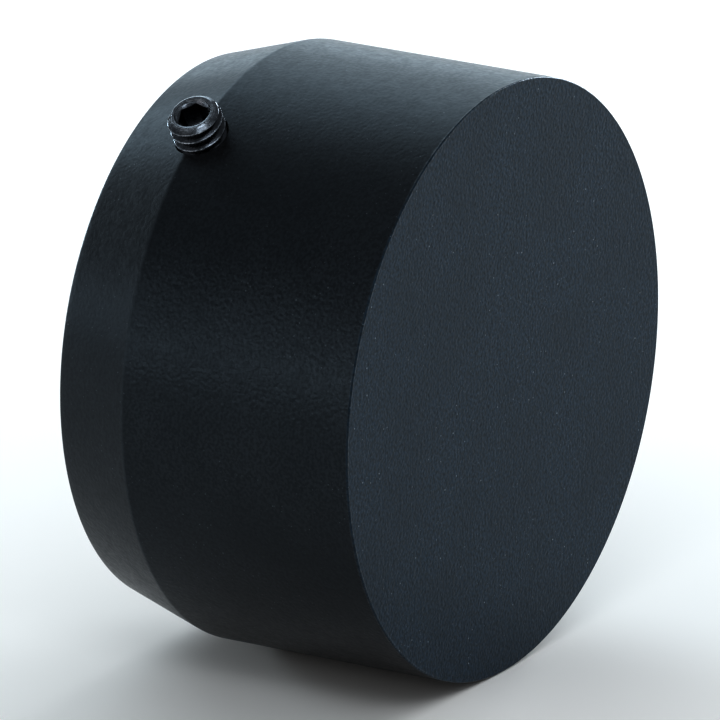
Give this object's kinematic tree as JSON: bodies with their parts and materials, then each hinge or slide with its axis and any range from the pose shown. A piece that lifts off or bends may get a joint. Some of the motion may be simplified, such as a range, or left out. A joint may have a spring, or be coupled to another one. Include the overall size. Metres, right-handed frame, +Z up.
{
  "type": "pipe cap",
  "caption": "Round slip-on cap for the end of a pipe, with a flat closed face, a bevelled open rim and a radial socket set screw at the shoulder.",
  "frame": {"origin": "centre of the pipe socket's mouth, in the plane of the open rim", "axes": "+Y out of the mouth, the way the pipe leaves; -Y out of the closed face; +Z up; the set screw leans from +Z towards -X"},
  "size_m": [0.07, 0.04, 0.07],
  "materials": {
    "powder_coat": "black powder coat, satin, fine orange-peel grain",
    "black_oxide": "black oxide, lightly oiled, bright on the thread crests"
  },
  "bodies": {
    "cap": {"cap_body": "powder_coat"},
    "screw": {"set_screw": "black_oxide"}
  },
  "joints": [
    {"name": "screw_travel", "type": "slide", "parent": "cap", "child": "screw", "axis": [0.5299, 0, -0.848], "range_m": [-0.002, 0.0034]}
  ]
}
